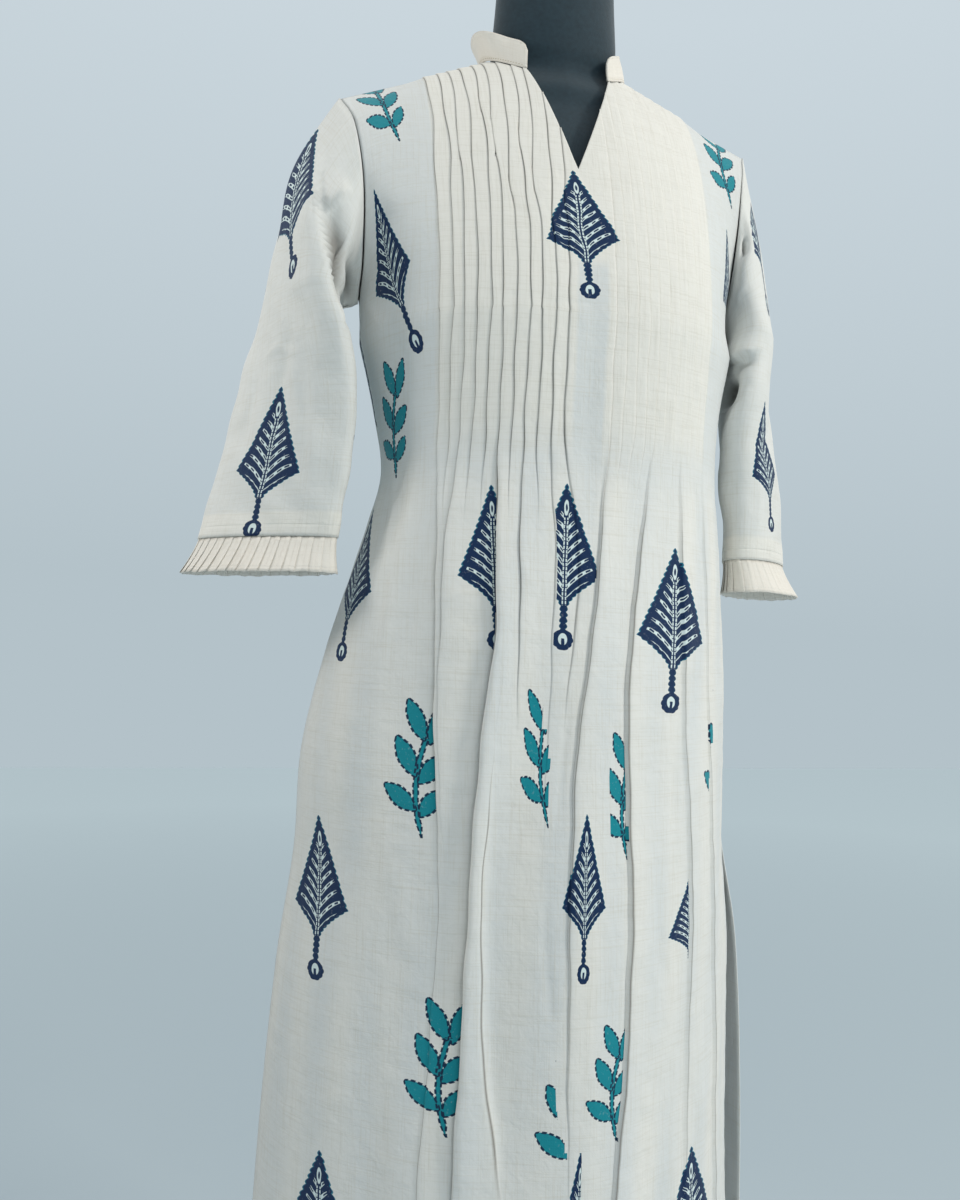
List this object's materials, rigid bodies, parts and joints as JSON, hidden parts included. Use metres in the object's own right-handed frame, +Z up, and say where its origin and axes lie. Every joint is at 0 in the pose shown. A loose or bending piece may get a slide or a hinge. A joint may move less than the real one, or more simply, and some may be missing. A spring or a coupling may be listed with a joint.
{
  "type": "kurta tunic on a dress form",
  "caption": "Long cotton kurta tunic with pin tucks, stand collar, pleated cuff frills and side slits, worn by a dark limbless dress form on a round stand",
  "frame": {"origin": "the middle of the stand base's underside, straight below the neck", "axes": "+Z up, the kurta's front towards -Y, the wearer's left towards +X"},
  "size_m": [0.5832, 0.3351, 1.48],
  "materials": {
    "printed_cotton": "off-white slub cotton with a navy and teal leaf print",
    "plain_cotton": "plain cream cotton",
    "form_jersey": "dark jersey cover",
    "cap_plastic": "matt",
    "stand_steel": "satin"
  },
  "bodies": {
    "root": {"front": "printed_cotton", "back": "printed_cotton", "sleeve_right": "printed_cotton", "sleeve_left": "printed_cotton", "frill_right": "plain_cotton", "frill_left": "plain_cotton", "collar": "plain_cotton", "dress_form": "form_jersey", "neck_cap": "cap_plastic", "stand_pole": "stand_steel", "stand_base": "stand_steel"}
  },
  "joints": []
}
